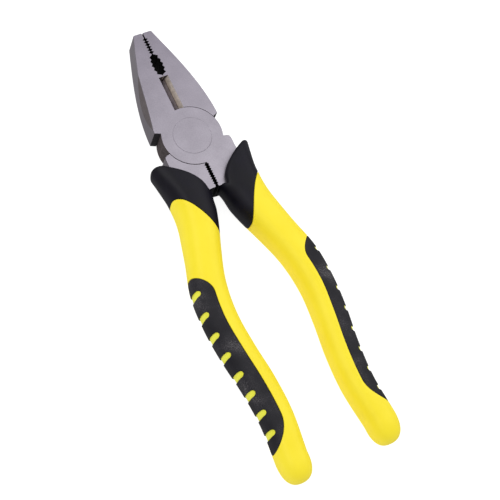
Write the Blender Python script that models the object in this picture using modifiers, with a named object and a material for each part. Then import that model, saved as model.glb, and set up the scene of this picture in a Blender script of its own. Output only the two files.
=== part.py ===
"""Lineman pliers of the eight-inch class, in metres, +Z up.

Two forged halves cross on a lap joint and turn on a countersunk rivet, and each half ends in a
tang inside a moulded handle.  The tool lies flat.  The origin is on the pivot axis at the rear
joint face, +Y runs to the jaw tip, and +Z points out of the front joint face.  The half with the
left jaw and the right handle is built once; half a turn about the tool's long centre line, at
mid-thickness, gives the other half, because the two sides of such a tool are the same forging.
"""
import math

import bmesh
import bpy
import numpy as np

# Gaps
REST_GAP = 0.0003           # between pieces that rest on or are moulded to each other
TURN_GAP = 0.0001           # between the rivet and the holes that turn on it
SLIVER = 0.000002           # corners closer than this are one corner

# Lap joint: a plate of half the thickness on each forging, inside a round pocket of the other
THICK = 0.0126
MID_Z = THICK / 2
DISC_R = 0.01365
POCKET_R = 0.01390
SHANK_R = 0.0050
HEAD_R = 0.0085
HEAD_DEPTH = HEAD_R - SHANK_R
ROUND_STEPS = 72

# Jaw, left of the centre line
NOSE_Y = 0.0530
NOSE_HALF = 0.00435
NOSE_CHAMFER = 0.0005
JAW_HALF = 0.0152
JAW_FOOT_Y = 0.0072
SHOULDER_R = 0.0132
SHOULDER_Y = 0.0047
FACE_X = REST_GAP / 2

# Working faces between the jaws
NOSE_TEETH = 6
NOSE_TEETH_Y = 0.0429
NOSE_PITCH = 0.00135
NOSE_TOOTH_HALF = 0.0005
NOSE_NOTCH_X = 0.00075
GRIP_LOW_Y = 0.0312
GRIP_HIGH_Y = 0.0418
GRIP_SCALLOPS = 5
GRIP_VALLEY_X = 0.0027
GRIP_TIP_X = 0.0022
CUTTER_LOW_Y = 0.01375
CUTTER_HIGH_Y = 0.0303
CUTTER_HALF = 0.0022
CUTTER_WAIST = 0.0001

# Neck and tang, right of the centre line
NECK_HALF = 0.0158
THROAT_X = 0.00060
THROAT_TOOTH = 0.00015
THROAT_PITCH = 0.00085
THROAT_TOP_Y = -0.0142
THROAT_LOW_Y = -0.0249
NECK_LOW_Y = -0.0310
TANG_TOP_Y = -0.0280
TANG_LOW_Y = -0.1180
TANG_THICK = 0.0080

# Handle sections across the tool: y, inner edge, ridge, outer edge, half thickness
HANDLE_STATIONS = (
    (-0.005, 0.0042, 0.0152, 0.0236, 0.0084),
    (-0.013, 0.0034, 0.0148, 0.0225, 0.0094),
    (-0.025, 0.0003, 0.0138, 0.0212, 0.0103),
    (-0.032, 0.0026, 0.0134, 0.0213, 0.0103),
    (-0.041, 0.0056, 0.0144, 0.0231, 0.0095),
    (-0.050, 0.0091, 0.0173, 0.0255, 0.0086),
    (-0.065, 0.01395, 0.02165, 0.02935, 0.0080),
    (-0.080, 0.01575, 0.02325, 0.03075, 0.0079),
    (-0.095, 0.01495, 0.02210, 0.02925, 0.0078),
    (-0.110, 0.01310, 0.02020, 0.02730, 0.0076),
    (-0.125, 0.01260, 0.01940, 0.02620, 0.0075),
    (-0.1445, 0.01465, 0.02115, 0.02765, 0.0074),
)
HANDLE_END_Y = -0.1546
HANDLE_CAP_Y = -0.1440
SQUARENESS = 2.55           # superellipse power of the handle's section
CAP_SQUARENESS = 2.5
RING_POINTS = 28
RING_SPACING = 0.0050
CAP_RINGS = 6

# Palm pad, on the outer half of the handle
PAD_TOP_Y = -0.0589
PAD_TOP_RUN = 0.0095
PAD_LOW_Y = -0.1400
PAD_LOW_RUN = 0.0140
PAD_DEPTH = 0.0022
RIBS = 8
RIB_TOP_Y = -0.0663
RIB_PITCH = 0.00975
RIB_PITCH_STEP = 0.00015    # each pitch is this much shorter than the one above it
RIB_WIDTH = 0.0023
RIB_DEPTH = 0.0005          # from the handle's surface down to the rib's
RIB_REACH = 0.79            # where a rib ends, from the ridge (0) to the outer edge (1)

# Heights and widths that only have to reach past the pieces they cut
FAR = 0.040
PAST = 0.001

STEEL = ((0.62, 0.60, 0.64), 0.38, 1.0)
RIVET = ((0.60, 0.58, 0.62), 0.42, 1.0)
YELLOW = ((0.95, 0.80, 0.05), 0.38, 0.0)
BLACK = ((0.030, 0.029, 0.033), 0.45, 0.0)
PAD_BLACK = ((0.045, 0.044, 0.046), 0.60, 0.0)


def clear_scene():
    for item in list(bpy.data.objects):
        bpy.data.objects.remove(item, do_unlink=True)


def new_collection(name):
    collection = bpy.data.collections.new(name)
    bpy.context.scene.collection.children.link(collection)
    return collection


def material(name, look):
    """Principled material from a colour, a roughness and a metallic value."""
    colour, roughness, metallic = look
    made = bpy.data.materials.new(name)
    made.use_nodes = True
    shader = made.node_tree.nodes["Principled BSDF"]
    shader.inputs["Base Color"].default_value = (*colour, 1.0)
    shader.inputs["Roughness"].default_value = roughness
    shader.inputs["Metallic"].default_value = metallic
    return made


# ---------------------------------------------------------------- shaping tools

def bezier(start, pull_a, pull_b, end, count):
    """Points along a cubic curve, its first point left out."""
    t = np.linspace(0.0, 1.0, count + 1)[1:, None]
    controls = [np.array(point) for point in (start, pull_a, pull_b, end)]
    weights = ((1 - t) ** 3, 3 * t * (1 - t) ** 2, 3 * t ** 2 * (1 - t), t ** 3)
    return [tuple(p) for p in sum(w * c for w, c in zip(weights, controls))]


def shifted(path, distance):
    """An open path moved sideways, to the left of its own direction."""
    path = np.array(path)
    along = np.gradient(path, axis=0)
    along /= np.linalg.norm(along, axis=1)[:, None]
    return [tuple(p) for p in path + distance * np.column_stack((-along[:, 1], along[:, 0]))]


def smooth_stations(stations, y):
    """Every station value at height y, on a smooth curve through the stations."""
    table = np.array(stations)[::-1]
    ys, values = table[:, 0], table[:, 1:]
    slopes = np.gradient(values, ys, axis=0)
    low = int(np.clip(np.searchsorted(ys, y) - 1, 0, len(ys) - 2))
    step = ys[low + 1] - ys[low]
    t = (y - ys[low]) / step
    rise = 3 * t ** 2 - 2 * t ** 3
    return ((1 - rise) * values[low] + rise * values[low + 1]
            + step * (t ** 3 - 2 * t ** 2 + t) * slopes[low]
            + step * (t ** 3 - t ** 2) * slopes[low + 1])


def linked_object(name, mesh):
    made = bpy.data.objects.new(name, mesh)
    workshop.objects.link(made)
    made.hide_render = True
    made.display_type = "WIRE"
    return made


def evaluated_mesh(item):
    bpy.context.view_layer.update()
    return bpy.data.meshes.new_from_object(item.evaluated_get(bpy.context.evaluated_depsgraph_get()))


def weld(mesh, distance):
    cage = bmesh.new()
    cage.from_mesh(mesh)
    bmesh.ops.remove_doubles(cage, verts=cage.verts, dist=distance)
    bmesh.ops.recalc_face_normals(cage, faces=cage.faces)
    cage.to_mesh(mesh)
    cage.free()


def plate(name, outline, z_low, z_high):
    """Solid with a flat outline in plan, between two heights."""
    curve = bpy.data.curves.new(name, "CURVE")
    curve.dimensions = "2D"
    curve.fill_mode = "BOTH"
    curve.extrude = (z_high - z_low) / 2
    spline = curve.splines.new("POLY")
    spline.points.add(len(outline) - 1)
    for point, (x, y) in zip(spline.points, outline):
        point.co = (x, y, 0.0, 1.0)
    spline.use_cyclic_u = True
    flat = linked_object(name, curve)
    mesh = evaluated_mesh(flat)
    bpy.data.objects.remove(flat, do_unlink=True)
    weld(mesh, SLIVER)
    solid = linked_object(name, mesh)
    solid.location.z = (z_low + z_high) / 2
    return solid


def drum(name, radius, z_low, z_high):
    """Round plate about the pivot axis."""
    mesh = bpy.data.meshes.new(name)
    cage = bmesh.new()
    bmesh.ops.create_cone(cage, cap_ends=True, segments=ROUND_STEPS, radius1=radius,
                          radius2=radius, depth=z_high - z_low)
    cage.to_mesh(mesh)
    cage.free()
    solid = linked_object(name, mesh)
    solid.location.z = (z_low + z_high) / 2
    return solid


def turned(name, profile):
    """Profile of (radius, z) points, turned about the pivot axis."""
    mesh = bpy.data.meshes.new(name)
    edges = [(i, i + 1) for i in range(len(profile) - 1)]
    mesh.from_pydata([(r, 0.0, z) for r, z in profile], edges, [])
    solid = linked_object(name, mesh)
    screw = solid.modifiers.new("Turn", "SCREW")
    screw.steps = ROUND_STEPS
    screw.render_steps = ROUND_STEPS
    screw.use_merge_vertices = True
    screw.merge_threshold = 0.000001
    return solid


def loft(name, rings):
    """Closed solid through rings that have the same number of points."""
    cage = bmesh.new()
    loops = [[cage.verts.new(point) for point in ring] for ring in rings]
    for near, far in zip(loops, loops[1:]):
        for i, vert in enumerate(near):
            after = (i + 1) % len(near)
            cage.faces.new((vert, near[after], far[after], far[i]))
    cage.faces.new(loops[0])
    cage.faces.new(loops[-1])
    bmesh.ops.recalc_face_normals(cage, faces=cage.faces)
    mesh = bpy.data.meshes.new(name)
    cage.to_mesh(mesh)
    cage.free()
    return linked_object(name, mesh)


def combine(target, other, operation):
    """Boolean of the target with another solid: UNION, DIFFERENCE or INTERSECT."""
    boolean = target.modifiers.new(other.name, "BOOLEAN")
    boolean.operation = operation
    boolean.solver = "EXACT"
    boolean.object = other


# ---------------------------------------------------------------- forged half

def pipe_grip_edge():
    """Scalloped edge of the pipe grip, from its lower end to its upper end."""
    half = (GRIP_HIGH_Y - GRIP_LOW_Y) / 2
    middle = GRIP_LOW_Y + half
    points = []
    for step in range(1, 4 * GRIP_SCALLOPS):
        along = step / (4 * GRIP_SCALLOPS)
        envelope = (1 - abs(2 * along - 1) ** 2.3) ** (1 / 2.3)
        scallop = abs(math.sin(math.pi * along * GRIP_SCALLOPS))
        width = GRIP_TIP_X + (GRIP_VALLEY_X - GRIP_TIP_X) * scallop
        points.append((-width * envelope, middle + half * (2 * along - 1)))
    return [(-FACE_X, GRIP_LOW_Y), *points, (-FACE_X, GRIP_HIGH_Y)]


def nose_teeth_edge():
    points = []
    for tooth in range(NOSE_TEETH):
        y = NOSE_TEETH_Y + tooth * NOSE_PITCH
        points += [(-FACE_X, y - NOSE_TOOTH_HALF), (-NOSE_NOTCH_X, y), (-FACE_X, y + NOSE_TOOTH_HALF)]
    return points


def jaw_outline():
    """Left jaw in plan: nose, curved flank, shoulder, and the working face back to the nose."""
    flank_top = (-NOSE_HALF - NOSE_CHAMFER / 3, NOSE_Y - NOSE_CHAMFER)
    flank = bezier(flank_top, (-0.0095, 0.0377), (-0.0149, 0.0223), (-JAW_HALF, JAW_FOOT_Y), 14)
    return [
        (-FACE_X, NOSE_Y),
        (-NOSE_HALF + NOSE_CHAMFER, NOSE_Y),
        flank_top,
        *flank,
        (-JAW_HALF + 0.0005, SHOULDER_Y + 0.0012),
        (-SHOULDER_R, SHOULDER_Y),
        (-SHOULDER_R * 0.7, SHOULDER_Y * 0.7),
        (-FACE_X, DISC_R * 0.6),
        *pipe_grip_edge(),
        *nose_teeth_edge(),
    ]


def throat_edge(grow):
    """Fine teeth on the inner face of the neck, from the joint down."""
    count = int((THROAT_TOP_Y - THROAT_LOW_Y) / (THROAT_PITCH / 2))
    points = []
    for step in range(count):
        side = THROAT_TOOTH if step % 2 else -THROAT_TOOTH
        points.append((THROAT_X + side - grow, THROAT_TOP_Y - step * THROAT_PITCH / 2))
    return points


def neck_outline(grow=0.0):
    """Right neck in plan, from the joint to the top of the tang, grown sideways if asked."""
    return [
        (0.0095, -0.0030 + grow),
        (SHOULDER_R, -SHOULDER_Y + grow),
        (0.0145 + grow, -0.0049 + grow),
        (0.0155 + grow, -0.0055 + grow),
        (NECK_HALF + grow, -0.0068),
        (NECK_HALF + grow, -0.0140),
        (0.0163 + grow, -0.0230),
        (0.0158 + grow, NECK_LOW_Y - grow),
        (0.0066 - grow, NECK_LOW_Y - grow),
        (0.0042 - grow, -0.0262 - grow),
        (THROAT_X - grow, THROAT_LOW_Y - grow),
        *throat_edge(grow)[::-1],
        (THROAT_X - grow, -0.0080),
    ]


def tang_outline(grow=0.0):
    """Tang in plan: a tapering ribbon on the handle's ridge line."""
    ys = np.linspace(TANG_TOP_Y, TANG_LOW_Y, 12)
    widths = np.interp(-ys, (0.028, 0.055, 0.118), (0.0048, 0.0034, 0.0026))
    centres = [smooth_stations(HANDLE_STATIONS, y)[1] for y in ys]
    right = [(c + w + grow, y) for c, w, y in zip(centres, widths, ys)]
    left = [(c - w - grow, y) for c, w, y in zip(centres, widths, ys)]
    end = (centres[-1], TANG_LOW_Y - widths[-1] / 2 - grow)
    return [*right, end, *left[::-1]]


def rivet_profile(gap, past):
    """Outside of the countersunk rivet, or of the hole it sits in when a gap is given."""
    shank = SHANK_R + gap
    rim = HEAD_R + gap * math.sqrt(2) + past
    waist = HEAD_DEPTH + gap * (math.sqrt(2) - 1)
    return [(0.0, THICK + past), (rim, THICK + past), (shank, THICK - waist),
            (shank, waist), (rim, -past), (0.0, -past)]


def groove_cutter():
    """Ground cutter bevels: a groove from each face that narrows to the edge at mid-thickness."""
    slope = (CUTTER_HALF - CUTTER_WAIST) / MID_Z
    wide = CUTTER_HALF + slope * PAST
    outline = [(-wide, -PAST), (-CUTTER_WAIST, MID_Z), (-wide, THICK + PAST),
               (wide, THICK + PAST), (CUTTER_WAIST, MID_Z), (wide, -PAST)]
    groove = plate("groove", outline, -CUTTER_HIGH_Y, -CUTTER_LOW_Y)
    groove.rotation_euler.x = math.pi / 2
    groove.location = (0.0, (CUTTER_LOW_Y + CUTTER_HIGH_Y) / 2, 0.0)
    return groove


def forged_half():
    """Left jaw, front joint plate, right neck and tang in one forging."""
    half = plate("jaw", jaw_outline(), 0.0, THICK)
    combine(half, drum("joint_disc", DISC_R, MID_Z - PAST, THICK), "UNION")
    combine(half, plate("neck", neck_outline(), 0.0, THICK), "UNION")
    tang_z = (THICK - TANG_THICK) / 2
    combine(half, plate("tang", tang_outline(), tang_z, THICK - tang_z), "UNION")
    combine(half, drum("pocket", POCKET_R, -PAST, MID_Z + REST_GAP / 2), "DIFFERENCE")
    combine(half, groove_cutter(), "DIFFERENCE")
    combine(half, turned("rivet_hole", rivet_profile(TURN_GAP, PAST)), "DIFFERENCE")
    return half


# ---------------------------------------------------------------- moulded handle

def handle_ring(y, inset):
    """Superellipse section of the handle at y, fuller towards the ridge, drawn in by inset."""
    y_section = max(y, HANDLE_CAP_Y)
    inner, ridge, outer, height = smooth_stations(HANDLE_STATIONS, y_section)
    past_cap = max(0.0, (HANDLE_CAP_Y - y) / (HANDLE_CAP_Y - HANDLE_END_Y - inset))
    scale = (1 - min(past_cap, 0.9995) ** CAP_SQUARENESS) ** (1 / CAP_SQUARENESS)
    points = []
    for step in range(RING_POINTS):
        angle = 2 * math.pi * (step + 0.5) / RING_POINTS
        across = math.copysign(abs(math.cos(angle)) ** (2 / SQUARENESS), math.cos(angle))
        up = math.copysign(abs(math.sin(angle)) ** (2 / SQUARENESS), math.sin(angle))
        reach = (outer - ridge if across > 0 else ridge - inner) - inset
        points.append((ridge + scale * reach * across, y, MID_Z + scale * (height - inset) * up))
    return points


def handle_form(name, y_top, inset=0.0):
    """Outer form of the moulded handle from y_top down to its round end."""
    steps = int((y_top - HANDLE_CAP_Y) / RING_SPACING)
    ys = list(np.linspace(y_top, HANDLE_CAP_Y, steps + 1))
    reach = HANDLE_CAP_Y - HANDLE_END_Y - inset
    for ring in range(1, CAP_RINGS + 1):
        ys.append(HANDLE_CAP_Y - reach * math.sin(0.5 * math.pi * ring / CAP_RINGS))
    return loft(name, [handle_ring(y, inset) for y in ys])


def guard_edge():
    """Border of the guard on the steel, from the ear's outer side to the inner lobe."""
    ear = bezier((0.0238, -0.0130), (0.0236, -0.0088), (0.0224, -0.0076), (0.0190, -0.0101), 6)
    slope = bezier(ear[-1], (0.0130, -0.0142), (0.0075, -0.0172), (0.0045, -0.0229), 8)
    lobe = bezier(slope[-1], (0.0038, -0.0242), (0.0030, -0.0249), (-0.0002, -0.0252), 3)
    return [(0.0280, -0.0130), (0.0238, -0.0130), *ear, *slope, *lobe]


def seam_edge():
    """Seam between the guard and the grip body, from the inner side to the outer side."""
    inner = (0.0066, -0.0472)
    curve = bezier(inner, (0.0099, -0.0366), (0.0162, -0.0266), (0.0219, -0.0245), 12)
    return [(0.0055, -0.0504), inner, *curve, (0.0285, -0.0221)]


def guard_region(name):
    outline = [*guard_edge(), (-0.0002, -0.0504), *seam_edge()]
    return plate(name, outline, -FAR, FAR)


def region_above_seam(name):
    """Everything the grip body gives up to the guard, with the gap between them."""
    seam = shifted(seam_edge(), -REST_GAP)
    return plate(name, [*seam, (0.0285, PAST), (-0.0100, PAST), (-0.0100, seam[0][1])], -FAR, FAR)


def pad_reach(y):
    """How far out the pad's border lies at y, from the ridge (0) to the outer edge (1)."""
    into_top = max(0.0, (y - (PAD_TOP_Y - PAD_TOP_RUN)) / PAD_TOP_RUN)
    into_low = max(0.0, ((PAD_LOW_Y + PAD_LOW_RUN) - y) / PAD_LOW_RUN)
    return into_top ** 2 + 1.1 * into_low ** 2


def pad_region(name, gap=0.0):
    border = []
    for y in np.linspace(PAD_TOP_Y + PAST, PAD_LOW_Y - PAST, 27):
        _, ridge, outer, _ = smooth_stations(HANDLE_STATIONS, y)
        border.append((ridge + (outer - ridge) * pad_reach(y), y))
    border = shifted(border, gap)
    return plate(name, [*border, (FAR, border[-1][1]), (FAR, border[0][1])], -FAR, FAR)


def rib_region(name, index, gap=0.0):
    """One rib in plan: a bar with a round inner end, out past the handle's side."""
    y = RIB_TOP_Y - index * RIB_PITCH + index * (index - 1) / 2 * RIB_PITCH_STEP
    _, ridge, outer, _ = smooth_stations(HANDLE_STATIONS, y)
    centre = ridge + (outer - ridge) * RIB_REACH
    radius = RIB_WIDTH / 2 + gap
    angles = np.linspace(0.5 * math.pi, 1.5 * math.pi, 9)
    nose = [(centre + radius * math.cos(a), y + radius * math.sin(a)) for a in angles]
    return plate(name, [*nose, (FAR, y - radius), (FAR, y + radius)], -FAR, FAR)


def cut_for_steel(target):
    """Pocket for the neck and the tang."""
    tang_z = (THICK - TANG_THICK) / 2 - REST_GAP
    neck = plate("neck_room", neck_outline(REST_GAP), -REST_GAP, THICK + REST_GAP)
    tang = plate("tang_room", tang_outline(REST_GAP), tang_z, THICK - tang_z)
    combine(target, neck, "DIFFERENCE")
    combine(target, tang, "DIFFERENCE")


def guard():
    """Soft collar and finger stop around the neck."""
    collar = handle_form("guard", -0.0050)
    combine(collar, guard_region("guard_plan"), "INTERSECT")
    cut_for_steel(collar)
    return collar


def grip_body():
    """Hard handle body with the tang's socket, the pad's recess and the ribs that stand in it."""
    body = handle_form("grip_body", -0.0160)
    combine(body, region_above_seam("guard_room"), "DIFFERENCE")
    recess = pad_region("recess")
    combine(recess, handle_form("recess_floor", -0.0450, PAD_DEPTH), "DIFFERENCE")
    for index in range(RIBS):
        rib = rib_region("rib_%d" % (index + 1), index)
        combine(rib, handle_form("rib_top_%d" % (index + 1), -0.0450, RIB_DEPTH), "INTERSECT")
        combine(recess, rib, "DIFFERENCE")
    combine(body, recess, "DIFFERENCE")
    cut_for_steel(body)
    return body


def palm_pad():
    """Soft pad in the recess, with a slot for each rib."""
    pad = handle_form("palm_pad", -0.0450)
    combine(pad, pad_region("pad_plan", REST_GAP), "INTERSECT")
    combine(pad, handle_form("pad_back", -0.0440, PAD_DEPTH - REST_GAP), "DIFFERENCE")
    for index in range(RIBS):
        combine(pad, rib_region("slot_%d" % (index + 1), index, REST_GAP), "DIFFERENCE")
    return pad


# ---------------------------------------------------------------- assembly

def side_empty(name, turned_over):
    """Parent of one side of the tool, on the pivot axis."""
    empty = bpy.data.objects.new(name, None)
    parts.objects.link(empty)
    if turned_over:
        empty.location.z = THICK
        empty.rotation_euler.y = math.pi
    return empty


def finished_mesh(source, name):
    """Mesh of a finished shape in the tool's frame, its hair-thin slivers welded away."""
    mesh = evaluated_mesh(source)
    mesh.name = name
    mesh.transform(source.matrix_world)
    weld(mesh, SLIVER)
    mesh.materials.clear()
    mesh.shade_smooth()
    mesh.set_sharp_from_angle(angle=math.radians(32))
    return mesh


def place(name, mesh, finish, parent):
    piece = bpy.data.objects.new(name, mesh)
    parts.objects.link(piece)
    piece.parent = parent
    if not mesh.materials:
        mesh.materials.append(None)
    piece.material_slots[0].link = "OBJECT"
    piece.material_slots[0].material = finish
    return piece


def assemble():
    front_side = side_empty("front_side", False)
    rear_side = side_empty("rear_side", True)
    half_mesh = finished_mesh(forged_half(), "forged_half")
    place("front_half", half_mesh, material("front_half_steel", STEEL), front_side)
    place("rear_half", half_mesh, material("rear_half_steel", STEEL), rear_side)
    rivet_mesh = finished_mesh(turned("rivet", rivet_profile(0.0, 0.0)), "joint_rivet")
    place("joint_rivet", rivet_mesh, material("rivet_steel", RIVET), front_side)
    for shape, name, look in ((guard, "guard", BLACK), (grip_body, "grip_body", YELLOW),
                              (palm_pad, "palm_pad", PAD_BLACK)):
        mesh = finished_mesh(shape(), name)
        place("right_" + name, mesh, material("right_" + name + "_finish", look), front_side)
        place("left_" + name, mesh, material("left_" + name + "_finish", look), rear_side)


clear_scene()
parts = new_collection("lineman_pliers")
workshop = new_collection("cutters_and_blanks")
assemble()
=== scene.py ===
"""Looks of the lineman pliers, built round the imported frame.

All lengths are metres in the frame's own coordinates: the origin is on the pivot axis at the rear
joint face, +Y runs to the jaw tip and +Z points out of the front joint face.  As in the frame, the
half with the left jaw and the right handle is modelled once, and half a turn about the tool's long
centre line at mid-thickness gives the other half.
"""
import math

import bmesh
import bpy
import numpy as np
from mathutils import Matrix, Vector


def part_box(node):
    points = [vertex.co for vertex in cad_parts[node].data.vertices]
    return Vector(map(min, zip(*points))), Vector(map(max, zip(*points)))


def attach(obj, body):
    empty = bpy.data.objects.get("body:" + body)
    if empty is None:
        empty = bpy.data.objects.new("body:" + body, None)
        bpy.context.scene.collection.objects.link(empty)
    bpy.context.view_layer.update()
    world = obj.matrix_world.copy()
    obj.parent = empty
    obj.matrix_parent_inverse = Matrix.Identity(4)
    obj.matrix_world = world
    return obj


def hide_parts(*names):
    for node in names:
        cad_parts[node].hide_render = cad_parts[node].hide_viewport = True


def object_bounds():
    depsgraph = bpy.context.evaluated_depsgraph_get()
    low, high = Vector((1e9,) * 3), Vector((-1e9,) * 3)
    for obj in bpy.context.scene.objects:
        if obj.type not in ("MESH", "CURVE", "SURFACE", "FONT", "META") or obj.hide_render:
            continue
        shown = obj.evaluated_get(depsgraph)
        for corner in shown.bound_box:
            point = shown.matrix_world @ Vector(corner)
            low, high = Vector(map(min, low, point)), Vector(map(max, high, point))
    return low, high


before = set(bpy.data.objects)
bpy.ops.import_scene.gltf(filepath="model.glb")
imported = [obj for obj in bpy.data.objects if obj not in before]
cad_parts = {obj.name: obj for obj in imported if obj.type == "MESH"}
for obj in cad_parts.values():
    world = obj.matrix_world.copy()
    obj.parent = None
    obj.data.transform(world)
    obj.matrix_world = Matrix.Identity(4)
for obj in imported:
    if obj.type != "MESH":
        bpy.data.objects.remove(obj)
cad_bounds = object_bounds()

# Driving sizes from the frame
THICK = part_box("front_half")[1].z
MID_Z = THICK / 2
NOSE_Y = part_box("front_half")[1].y
HANDLE_END_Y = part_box("right_grip_body")[0].y
RIVET_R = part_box("joint_rivet")[1].x
FLOOR_Z = cad_bounds[0][2]

# Gaps
JAW_GAP = 0.0003            # between the two working faces when the tool is closed
TURN_GAP = 0.00006          # round the rivet and the ribs
SEAM_GAP = 0.0001           # between pieces moulded against each other
SLIVER = 0.000002           # corners closer than this are one corner

# Lap joint
DISC_R = 0.01365
POCKET_R = 0.01385
POCKET_DROP = 0.00008       # how far the pocket sits towards the handles
SHANK_R = 0.0050
HEAD_DEPTH = RIVET_R - SHANK_R
ROUND_STEPS = 192

# Jaw, left of the centre line
NOSE_HALF = 0.00435         # half the head's width at the nose
NOSE_CHAMFER = 0.0003
JAW_HALF = 0.0152           # and at the jaw's foot
JAW_FOOT_Y = 0.0063
SHOULDER_X = 0.0126         # where the shoulder meets the joint disc
SHOULDER_Y = 0.0052
FACE_X = JAW_GAP / 2

# Facet on the jaw's bulging side: control points of its edge on the front face, the slopes at its
# upper and lower end, and how deep it is cut
LENS_CURVE = ((-0.0093, 0.0395), (-0.0112, 0.0300), (-0.0127, 0.0180), (-0.0156, 0.0056))
LENS_SLOPE_HIGH = 0.125
LENS_SLOPE_LOW = 0.22
LENS_DEPTH = 0.0090
LENS_STEPS = 32

# Working faces between the jaws
NOSE_X = 0.00030            # half the gap between the nose teeth
NOSE_TEETH = 6
NOSE_TEETH_Y = 0.0429
NOSE_PITCH = 0.00135
NOSE_TOOTH_HALF = 0.00060
NOSE_NOTCH_X = 0.00125
GRIP_LOW_Y = 0.0312         # pipe grip: half the gap, and y, at each notch and each tooth
GRIP_HIGH_Y = 0.0418
GRIP_NOTCHES = ((0.00215, 0.0322), (0.00262, 0.03435), (0.00275, 0.03645), (0.00245, 0.0386),
                (0.00202, 0.0407))
GRIP_TEETH = ((0.00164, 0.0333), (0.00195, 0.0354), (0.00193, 0.0375), (0.00153, 0.0396))
GRIP_DEEPEST_X = max(x for x, _ in GRIP_NOTCHES)
CUTTER_LOW_Y = 0.0131
CUTTER_HIGH_Y = 0.0303
CUTTER_HALF = 0.0022        # half the groove at the faces
CUTTER_WAIST = 0.0001       # and at the cutting edge

# Neck and tang, right of the centre line
NECK_HALF = 0.0158
THROAT_X = 0.00084          # half the gap between the necks, halfway up its teeth
THROAT_TOOTH = 0.00030
THROAT_PITCH = 0.00115
THROAT_TOP_Y = -0.0142
THROAT_LOW_Y = -0.0256
NECK_LOW_Y = -0.0310
TANG_TOP_Y = -0.0280
TANG_LOW_Y = -0.1180
TANG_THICK = 0.0080
TANG_WIDTHS = ((0.028, 0.0048), (0.055, 0.0034), (0.118, 0.0026))   # at -y, half the width

# Rounding of the steel's edges
EDGE_ROUND = 0.00030
WORKING_ROUND = 0.00007     # teeth, cutter and the joint's close-fitting rims
WORKING_REACH = 0.0034      # from the centre line past the teeth and the cutter
RIM_REACH = 0.0005          # from the joint disc past the pocket's rim
EDGE_STEPS = 3
EDGE_ANGLE = math.radians(28)       # edges flatter than this stay as they are
LEVEL_ANGLE = math.radians(0.3)     # faces closer to level than this are one face
SHARP_ANGLE = math.radians(32)      # edges steeper than this are shaded sharp

# Handle sections across the tool: y, inner edge, ridge, outer edge, half thickness
HANDLE_STATIONS = (
    (-0.005, 0.0042, 0.0152, 0.0248, 0.0094),
    (-0.013, 0.0034, 0.0148, 0.0232, 0.0100),
    (-0.025, 0.0010, 0.0138, 0.0208, 0.0101),
    (-0.030, 0.0025, 0.0135, 0.0209, 0.0099),
    (-0.036, 0.0041, 0.0137, 0.0218, 0.0096),
    (-0.041, 0.0057, 0.0144, 0.0231, 0.0093),
    (-0.050, 0.0090, 0.0172, 0.0255, 0.0086),
    (-0.065, 0.0138, 0.02165, 0.0298, 0.0080),
    (-0.080, 0.0156, 0.02325, 0.03068, 0.0079),
    (-0.095, 0.0147, 0.02210, 0.0297, 0.0078),
    (-0.110, 0.0129, 0.02020, 0.0276, 0.0076),
    (-0.125, 0.0124, 0.01940, 0.0265, 0.0075),
    (-0.1445, 0.0145, 0.02115, 0.0279, 0.0074),
)
HANDLE_CAP_Y = -0.1440
SQUARENESS = 2.55           # superellipse power of the handle's section
CAP_SQUARENESS = 2.5
CAP_SHARE = 0.99995         # the last ring stops this far round the cap, so that it keeps a width
RING_POINTS = 96
RING_SPACING = 0.0012
CAP_RINGS = 22
BELOW_SEAM_Y = -0.0560      # the handle's rings are level from here down

# Guard
GUARD_HIGH_Y = -0.0060      # its border is looked for between these two levels
GUARD_LOW_Y = -0.0450
SEAM_HIGH_Y = -0.0120       # and its seam from here down to BELOW_SEAM_Y
BORDER_FRONT = (-0.0002, -0.0263, -0.0251, -0.0259)     # rise of the ear; notch, crown and inner end of
BORDER_REAR = (0.0006, -0.0250, -0.0257, -0.0264)       # the lobe, in y
SEAM_DROP_FRONT = 0.0002    # how much lower the seam lies on the front and on the rear face
SEAM_DROP_REAR = -0.0002
LOBE_MIDDLE_Y = -0.0270     # where the section's inner side is fullest, and how far that reaches
LOBE_HALF = 0.0078
LOBE_FULLNESS = 0.60        # how much squarer it is in front
LOBE_SLIMNESS = 0.09        # and how much narrower behind
EAR_LEAN = 0.0018           # sideways lean of the ear, from EAR_LEAN_END up
EAR_LEAN_END = -0.0260
EAR_LEAN_RUN = 0.0120
GUARD_ROUND = 0.0011        # its soft border on the steel
SEAM_ROUND = 0.00030        # where it meets the grip body
ROUND_RINGS = 6
WALK_STEPS = 260            # levels at which a border is looked for
HALVINGS = 24               # that then settle where it lies

# Palm pad, on the outer half of the handle
PAD_TOP_Y = -0.0589
PAD_TOP_RUN = 0.0103        # length over which its border runs outwards
PAD_LOW_Y = -0.1405
PAD_LOW_RUN = 0.0140
PAD_LOW_PULL = 1.1          # how much further it runs outwards at the lower end
PAD_PAST_RIDGE = 0.05       # how far past the ridge its border lies, as a share of the outer half
PAD_FORM_TOP_Y = -0.0450    # top of the forms that bound the recess's floor and the ribs' tops
PAD_DEPTH = 0.0022
PAD_ROUND = 0.0007
PAD_COLUMNS = 44            # of the pad's grid of corners, either side of its middle
PAD_ROWS = 110
PAD_EVENNESS = 0.45         # 1 spaces the grid evenly, 0 crowds it towards the pad's border
RIBS = 8
RIB_TOP_Y = -0.0666
RIB_PITCH = 0.00975
RIB_PITCH_STEP = 0.00015    # each pitch is this much shorter than the one above it
RIB_WIDTH = 0.0026
RIB_DEPTH = 0.0005          # from the handle's surface down to the rib's
RIB_REACH = 0.84            # where a rib ends, from the ridge (0) to the outer edge (1)
RIB_FLARE = 0.0006          # how much lower its lower edge ends on the handle's side
RIB_TURN = 0.0006           # that edge turns down from this far inside the handle's outer edge
RIB_TURN_PAST = 0.0004      # to this far outside it

# Heights and widths that only have to reach past the pieces they cut
FAR = 0.040
PAST = 0.001

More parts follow.
